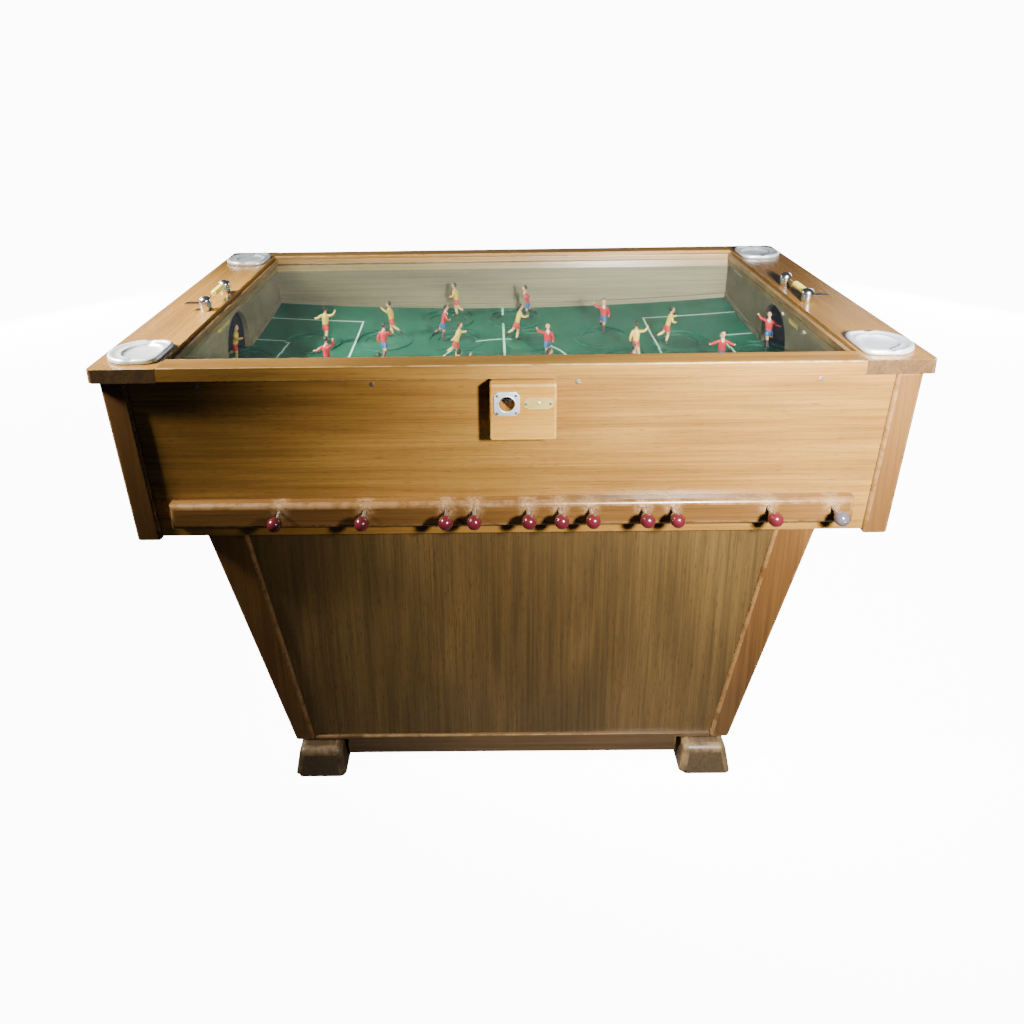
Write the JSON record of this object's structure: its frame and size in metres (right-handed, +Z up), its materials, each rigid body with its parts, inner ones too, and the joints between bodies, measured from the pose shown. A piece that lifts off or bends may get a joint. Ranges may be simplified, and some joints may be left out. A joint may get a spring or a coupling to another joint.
{
  "type": "foosball table",
  "caption": "Glazed café table-football game: footballers on turning discs in a dished green pitch, each worked by its own knob through mitre gears, in a tapered wooden cabinet.",
  "frame": {"origin": "on the floor under the centre of the table", "axes": "+X goal to goal, the red team's goal at +X; -Y is the front with the ball hole and the red team's knobs; +Z up"},
  "size_m": [1.45, 0.924, 0.92],
  "materials": {
    "top_wood": "varnished, worn",
    "case_wood": "varnished",
    "rail_wood": "varnished, worn round the shafts",
    "frame_wood": "varnished, reddish",
    "pedestal_wood": "varnished coarse veneer",
    "foot_wood": "varnished, scuffed",
    "wall_wood": "pale, matt",
    "block_wood": "varnished, pale",
    "glass": "clear",
    "pitch_paint": "semi-matt green with painted lines",
    "plate_metal": "satin plates and screw heads",
    "ashtray_metal": "cast and tumbled",
    "scorer_metal": "plated, dulled",
    "bracket_steel": "black steel",
    "bead_plastic": "yellowed, glossy",
    "red_team": "hand-painted cast figure on a green disc",
    "yellow_team": "hand-painted cast figure on a green disc",
    "knob_maroon": "glossy phenolic on a steel shaft",
    "knob_black": "glossy phenolic on a steel shaft"
  },
  "bodies": {
    "table": {"top_frame": "top_wood", "glass_pane": "glass", "upper_panels": "case_wood", "knob_rails": "rail_wood", "case_frame": "frame_wood", "pedestal_panels": "pedestal_wood", "foot_runners": "foot_wood", "pitch_board": "pitch_paint", "inner_walls": "wall_wood", "ball_block": "block_wood", "metal_plates_and_screws": "plate_metal", "ashtrays": "ashtray_metal", "score_wires": "scorer_metal", "bearing_brackets": "bracket_steel"},
    "beads_left": {"score_beads_left": "bead_plastic"},
    "beads_right": {"score_beads_right": "bead_plastic"},
    "player_red_01": {"player_red_01": "red_team"},
    "knob_red_01": {"knob_red_01": "knob_black"},
    "player_red_02": {"player_red_02": "red_team"},
    "knob_red_02": {"knob_red_02": "knob_maroon"},
    "player_red_03": {"player_red_03": "red_team"},
    "knob_red_03": {"knob_red_03": "knob_maroon"},
    "player_red_04": {"player_red_04": "red_team"},
    "knob_red_04": {"knob_red_04": "knob_maroon"},
    "player_red_05": {"player_red_05": "red_team"},
    "knob_red_05": {"knob_red_05": "knob_maroon"},
    "player_red_06": {"player_red_06": "red_team"},
    "knob_red_06": {"knob_red_06": "knob_maroon"},
    "player_red_07": {"player_red_07": "red_team"},
    "knob_red_07": {"knob_red_07": "knob_maroon"},
    "player_red_08": {"player_red_08": "red_team"},
    "knob_red_08": {"knob_red_08": "knob_maroon"},
    "player_red_09": {"player_red_09": "red_team"},
    "knob_red_09": {"knob_red_09": "knob_maroon"},
    "player_red_10": {"player_red_10": "red_team"},
    "knob_red_10": {"knob_red_10": "knob_maroon"},
    "player_red_11": {"player_red_11": "red_team"},
    "knob_red_11": {"knob_red_11": "knob_maroon"},
    "player_yellow_01": {"player_yellow_01": "yellow_team"},
    "knob_yellow_01": {"knob_yellow_01": "knob_black"},
    "player_yellow_02": {"player_yellow_02": "yellow_team"},
    "knob_yellow_02": {"knob_yellow_02": "knob_maroon"},
    "player_yellow_03": {"player_yellow_03": "yellow_team"},
    "knob_yellow_03": {"knob_yellow_03": "knob_maroon"},
    "player_yellow_04": {"player_yellow_04": "yellow_team"},
    "knob_yellow_04": {"knob_yellow_04": "knob_maroon"},
    "player_yellow_05": {"player_yellow_05": "yellow_team"},
    "knob_yellow_05": {"knob_yellow_05": "knob_maroon"},
    "player_yellow_06": {"player_yellow_06": "yellow_team"},
    "knob_yellow_06": {"knob_yellow_06": "knob_maroon"},
    "player_yellow_07": {"player_yellow_07": "yellow_team"},
    "knob_yellow_07": {"knob_yellow_07": "knob_maroon"},
    "player_yellow_08": {"player_yellow_08": "yellow_team"},
    "knob_yellow_08": {"knob_yellow_08": "knob_maroon"},
    "player_yellow_09": {"player_yellow_09": "yellow_team"},
    "knob_yellow_09": {"knob_yellow_09": "knob_maroon"},
    "player_yellow_10": {"player_yellow_10": "yellow_team"},
    "knob_yellow_10": {"knob_yellow_10": "knob_maroon"},
    "player_yellow_11": {"player_yellow_11": "yellow_team"},
    "knob_yellow_11": {"knob_yellow_11": "knob_maroon"}
  },
  "joints": [
    {"name": "beads_left_slide", "type": "slide", "parent": "table", "child": "beads_left", "axis": [0, 1, 0], "range_m": [-0.0408, 0]},
    {"name": "beads_right_slide", "type": "slide", "parent": "table", "child": "beads_right", "axis": [0, 1, 0], "range_m": [0, 0.0408]},
    {"name": "player_red_01_spin", "type": "hinge", "parent": "table", "child": "player_red_01", "pos_m": [0.575, 0, 0.7], "axis": [0, 0, 1], "continuous": true},
    {"name": "knob_red_01_turn", "type": "hinge", "parent": "table", "child": "knob_red_01", "pos_m": [0.575, -0.4, 0.612], "axis": [0, 1, 0], "continuous": true},
    {"name": "player_red_02_spin", "type": "hinge", "parent": "table", "child": "player_red_02", "pos_m": [0.46, -0.115, 0.7], "axis": [0, 0, 1], "continuous": true},
    {"name": "knob_red_02_turn", "type": "hinge", "parent": "table", "child": "knob_red_02", "pos_m": [0.46, -0.4, 0.612], "axis": [0, 1, 0], "continuous": true},
    {"name": "player_red_03_spin", "type": "hinge", "parent": "table", "child": "player_red_03", "pos_m": [0.29, -0.14, 0.7], "axis": [0, 0, 1], "continuous": true},
    {"name": "knob_red_03_turn", "type": "hinge", "parent": "table", "child": "knob_red_03", "pos_m": [0.29, -0.4, 0.612], "axis": [0, 1, 0], "continuous": true},
    {"name": "player_red_04_spin", "type": "hinge", "parent": "table", "child": "player_red_04", "pos_m": [0.238, 0.145, 0.7], "axis": [0, 0, 1], "continuous": true},
    {"name": "knob_red_04_turn", "type": "hinge", "parent": "table", "child": "knob_red_04", "pos_m": [0.238, -0.4, 0.612], "axis": [0, 1, 0], "continuous": true},
    {"name": "player_red_05_spin", "type": "hinge", "parent": "table", "child": "player_red_05", "pos_m": [0.143, -0.278, 0.7], "axis": [0, 0, 1], "continuous": true},
    {"name": "knob_red_05_turn", "type": "hinge", "parent": "table", "child": "knob_red_05", "pos_m": [0.143, -0.4, 0.612], "axis": [0, 1, 0], "continuous": true},
    {"name": "player_red_06_spin", "type": "hinge", "parent": "table", "child": "player_red_06", "pos_m": [0.088, -0.008, 0.7], "axis": [0, 0, 1], "continuous": true},
    {"name": "knob_red_06_turn", "type": "hinge", "parent": "table", "child": "knob_red_06", "pos_m": [0.088, -0.4, 0.612], "axis": [0, 1, 0], "continuous": true},
    {"name": "player_red_07_spin", "type": "hinge", "parent": "table", "child": "player_red_07", "pos_m": [0.031, 0.278, 0.7], "axis": [0, 0, 1], "continuous": true},
    {"name": "knob_red_07_turn", "type": "hinge", "parent": "table", "child": "knob_red_07", "pos_m": [0.031, -0.4, 0.612], "axis": [0, 1, 0], "continuous": true},
    {"name": "player_red_08_spin", "type": "hinge", "parent": "table", "child": "player_red_08", "pos_m": [-0.065, -0.145, 0.7], "axis": [0, 0, 1], "continuous": true},
    {"name": "knob_red_08_turn", "type": "hinge", "parent": "table", "child": "knob_red_08", "pos_m": [-0.065, -0.4, 0.612], "axis": [0, 1, 0], "continuous": true},
    {"name": "player_red_09_spin", "type": "hinge", "parent": "table", "child": "player_red_09", "pos_m": [-0.115, 0.145, 0.7], "axis": [0, 0, 1], "continuous": true},
    {"name": "knob_red_09_turn", "type": "hinge", "parent": "table", "child": "knob_red_09", "pos_m": [-0.115, -0.4, 0.612], "axis": [0, 1, 0], "continuous": true},
    {"name": "player_red_10_spin", "type": "hinge", "parent": "table", "child": "player_red_10", "pos_m": [-0.262, -0.008, 0.7], "axis": [0, 0, 1], "continuous": true},
    {"name": "knob_red_10_turn", "type": "hinge", "parent": "table", "child": "knob_red_10", "pos_m": [-0.262, -0.4, 0.612], "axis": [0, 1, 0], "continuous": true},
    {"name": "player_red_11_spin", "type": "hinge", "parent": "table", "child": "player_red_11", "pos_m": [-0.415, -0.095, 0.7], "axis": [0, 0, 1], "continuous": true},
    {"name": "knob_red_11_turn", "type": "hinge", "parent": "table", "child": "knob_red_11", "pos_m": [-0.415, -0.4, 0.612], "axis": [0, 1, 0], "continuous": true},
    {"name": "player_yellow_01_spin", "type": "hinge", "parent": "table", "child": "player_yellow_01", "pos_m": [-0.575, 0, 0.7], "axis": [0, 0, 1], "continuous": true},
    {"name": "knob_yellow_01_turn", "type": "hinge", "parent": "table", "child": "knob_yellow_01", "pos_m": [-0.575, 0.4, 0.612], "axis": [0, -1, 0], "continuous": true},
    {"name": "player_yellow_02_spin", "type": "hinge", "parent": "table", "child": "player_yellow_02", "pos_m": [-0.46, 0.115, 0.7], "axis": [0, 0, 1], "continuous": true},
    {"name": "knob_yellow_02_turn", "type": "hinge", "parent": "table", "child": "knob_yellow_02", "pos_m": [-0.46, 0.4, 0.612], "axis": [0, -1, 0], "continuous": true},
    {"name": "player_yellow_03_spin", "type": "hinge", "parent": "table", "child": "player_yellow_03", "pos_m": [-0.29, 0.14, 0.7], "axis": [0, 0, 1], "continuous": true},
    {"name": "knob_yellow_03_turn", "type": "hinge", "parent": "table", "child": "knob_yellow_03", "pos_m": [-0.29, 0.4, 0.612], "axis": [0, -1, 0], "continuous": true},
    {"name": "player_yellow_04_spin", "type": "hinge", "parent": "table", "child": "player_yellow_04", "pos_m": [-0.238, -0.145, 0.7], "axis": [0, 0, 1], "continuous": true},
    {"name": "knob_yellow_04_turn", "type": "hinge", "parent": "table", "child": "knob_yellow_04", "pos_m": [-0.238, 0.4, 0.612], "axis": [0, -1, 0], "continuous": true},
    {"name": "player_yellow_05_spin", "type": "hinge", "parent": "table", "child": "player_yellow_05", "pos_m": [-0.143, 0.278, 0.7], "axis": [0, 0, 1], "continuous": true},
    {"name": "knob_yellow_05_turn", "type": "hinge", "parent": "table", "child": "knob_yellow_05", "pos_m": [-0.143, 0.4, 0.612], "axis": [0, -1, 0], "continuous": true},
    {"name": "player_yellow_06_spin", "type": "hinge", "parent": "table", "child": "player_yellow_06", "pos_m": [-0.088, 0.008, 0.7], "axis": [0, 0, 1], "continuous": true},
    {"name": "knob_yellow_06_turn", "type": "hinge", "parent": "table", "child": "knob_yellow_06", "pos_m": [-0.088, 0.4, 0.612], "axis": [0, -1, 0], "continuous": true},
    {"name": "player_yellow_07_spin", "type": "hinge", "parent": "table", "child": "player_yellow_07", "pos_m": [-0.031, -0.278, 0.7], "axis": [0, 0, 1], "continuous": true},
    {"name": "knob_yellow_07_turn", "type": "hinge", "parent": "table", "child": "knob_yellow_07", "pos_m": [-0.031, 0.4, 0.612], "axis": [0, -1, 0], "continuous": true},
    {"name": "player_yellow_08_spin", "type": "hinge", "parent": "table", "child": "player_yellow_08", "pos_m": [0.065, 0.145, 0.7], "axis": [0, 0, 1], "continuous": true},
    {"name": "knob_yellow_08_turn", "type": "hinge", "parent": "table", "child": "knob_yellow_08", "pos_m": [0.065, 0.4, 0.612], "axis": [0, -1, 0], "continuous": true},
    {"name": "player_yellow_09_spin", "type": "hinge", "parent": "table", "child": "player_yellow_09", "pos_m": [0.115, -0.145, 0.7], "axis": [0, 0, 1], "continuous": true},
    {"name": "knob_yellow_09_turn", "type": "hinge", "parent": "table", "child": "knob_yellow_09", "pos_m": [0.115, 0.4, 0.612], "axis": [0, -1, 0], "continuous": true},
    {"name": "player_yellow_10_spin", "type": "hinge", "parent": "table", "child": "player_yellow_10", "pos_m": [0.262, 0.008, 0.7], "axis": [0, 0, 1], "continuous": true},
    {"name": "knob_yellow_10_turn", "type": "hinge", "parent": "table", "child": "knob_yellow_10", "pos_m": [0.262, 0.4, 0.612], "axis": [0, -1, 0], "continuous": true},
    {"name": "player_yellow_11_spin", "type": "hinge", "parent": "table", "child": "player_yellow_11", "pos_m": [0.415, 0.095, 0.7], "axis": [0, 0, 1], "continuous": true},
    {"name": "knob_yellow_11_turn", "type": "hinge", "parent": "table", "child": "knob_yellow_11", "pos_m": [0.415, 0.4, 0.612], "axis": [0, -1, 0], "continuous": true}
  ],
  "couplings": [
    {"joint": "knob_red_01_turn", "follows": "player_red_01_spin", "ratio": 1},
    {"joint": "knob_red_02_turn", "follows": "player_red_02_spin", "ratio": 1},
    {"joint": "knob_red_03_turn", "follows": "player_red_03_spin", "ratio": 1},
    {"joint": "knob_red_04_turn", "follows": "player_red_04_spin", "ratio": 1},
    {"joint": "knob_red_05_turn", "follows": "player_red_05_spin", "ratio": 1},
    {"joint": "knob_red_06_turn", "follows": "player_red_06_spin", "ratio": 1},
    {"joint": "knob_red_07_turn", "follows": "player_red_07_spin", "ratio": 1},
    {"joint": "knob_red_08_turn", "follows": "player_red_08_spin", "ratio": 1},
    {"joint": "knob_red_09_turn", "follows": "player_red_09_spin", "ratio": 1},
    {"joint": "knob_red_10_turn", "follows": "player_red_10_spin", "ratio": 1},
    {"joint": "knob_red_11_turn", "follows": "player_red_11_spin", "ratio": 1},
    {"joint": "knob_yellow_01_turn", "follows": "player_yellow_01_spin", "ratio": 1},
    {"joint": "knob_yellow_02_turn", "follows": "player_yellow_02_spin", "ratio": 1},
    {"joint": "knob_yellow_03_turn", "follows": "player_yellow_03_spin", "ratio": 1},
    {"joint": "knob_yellow_04_turn", "follows": "player_yellow_04_spin", "ratio": 1},
    {"joint": "knob_yellow_05_turn", "follows": "player_yellow_05_spin", "ratio": 1},
    {"joint": "knob_yellow_06_turn", "follows": "player_yellow_06_spin", "ratio": 1},
    {"joint": "knob_yellow_07_turn", "follows": "player_yellow_07_spin", "ratio": 1},
    {"joint": "knob_yellow_08_turn", "follows": "player_yellow_08_spin", "ratio": 1},
    {"joint": "knob_yellow_09_turn", "follows": "player_yellow_09_spin", "ratio": 1},
    {"joint": "knob_yellow_10_turn", "follows": "player_yellow_10_spin", "ratio": 1},
    {"joint": "knob_yellow_11_turn", "follows": "player_yellow_11_spin", "ratio": 1}
  ]
}
